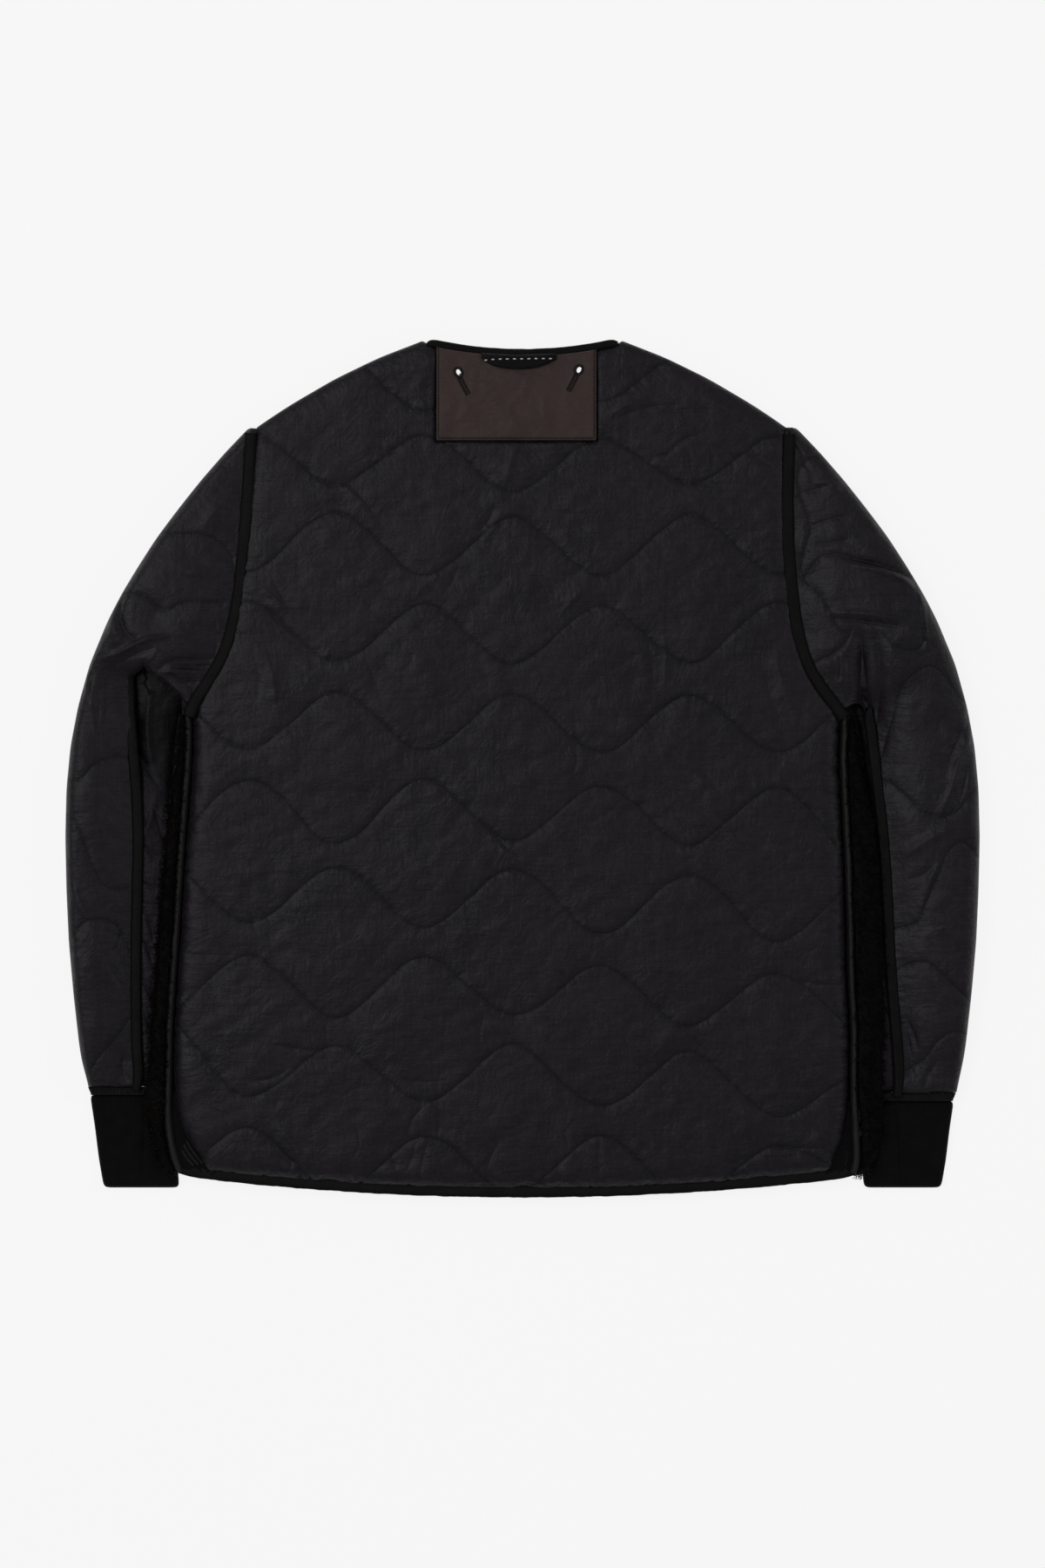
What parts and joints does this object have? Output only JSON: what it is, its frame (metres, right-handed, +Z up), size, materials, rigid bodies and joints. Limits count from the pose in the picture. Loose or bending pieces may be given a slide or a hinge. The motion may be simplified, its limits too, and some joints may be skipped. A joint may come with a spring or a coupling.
{
  "type": "quilted shearling jacket",
  "caption": "Collarless black quilted nylon jacket with shearling at the side seams, rib cuffs, bound edges and a brown neck patch, laid flat with its back up.",
  "frame": {"origin": "under the middle of the outline, on the surface that the jacket lies on", "axes": "+Z up out of the surface, +Y towards the neck, -X towards the wearer's left sleeve"},
  "size_m": [0.788, 0.74, 0.03],
  "materials": {
    "quilted_nylon": "black nylon with a soft sheen, quilted in waves",
    "binding_tape": "matte black binding tape",
    "rib_knit": "matte black rib knit",
    "patch": "dark brown leather with a low sheen",
    "ribbon": "black woven ribbon with white stitches",
    "shearling": "curly dark shearling with brown tips"
  },
  "bodies": {
    "root": {"back_panel": "quilted_nylon", "neck_patch": "patch", "hanger_loop": "ribbon", "neck_binding": "binding_tape", "hem_binding": "binding_tape", "front_left": "quilted_nylon", "front_binding_left": "binding_tape", "sleeve_top_left": "quilted_nylon", "sleeve_under_left": "quilted_nylon", "sleeve_band_left": "quilted_nylon", "cuff_left": "rib_knit", "armhole_binding_left": "binding_tape", "sleeve_binding_left": "binding_tape", "side_binding_left": "binding_tape", "hem_corner_left": "rib_knit", "shearling_left": "shearling", "front_right": "quilted_nylon", "front_binding_right": "binding_tape", "sleeve_top_right": "quilted_nylon", "sleeve_under_right": "quilted_nylon", "sleeve_band_right": "quilted_nylon", "cuff_right": "rib_knit", "armhole_binding_right": "binding_tape", "sleeve_binding_right": "binding_tape", "side_binding_right": "binding_tape", "hem_corner_right": "rib_knit", "shearling_right": "shearling"}
  },
  "joints": []
}
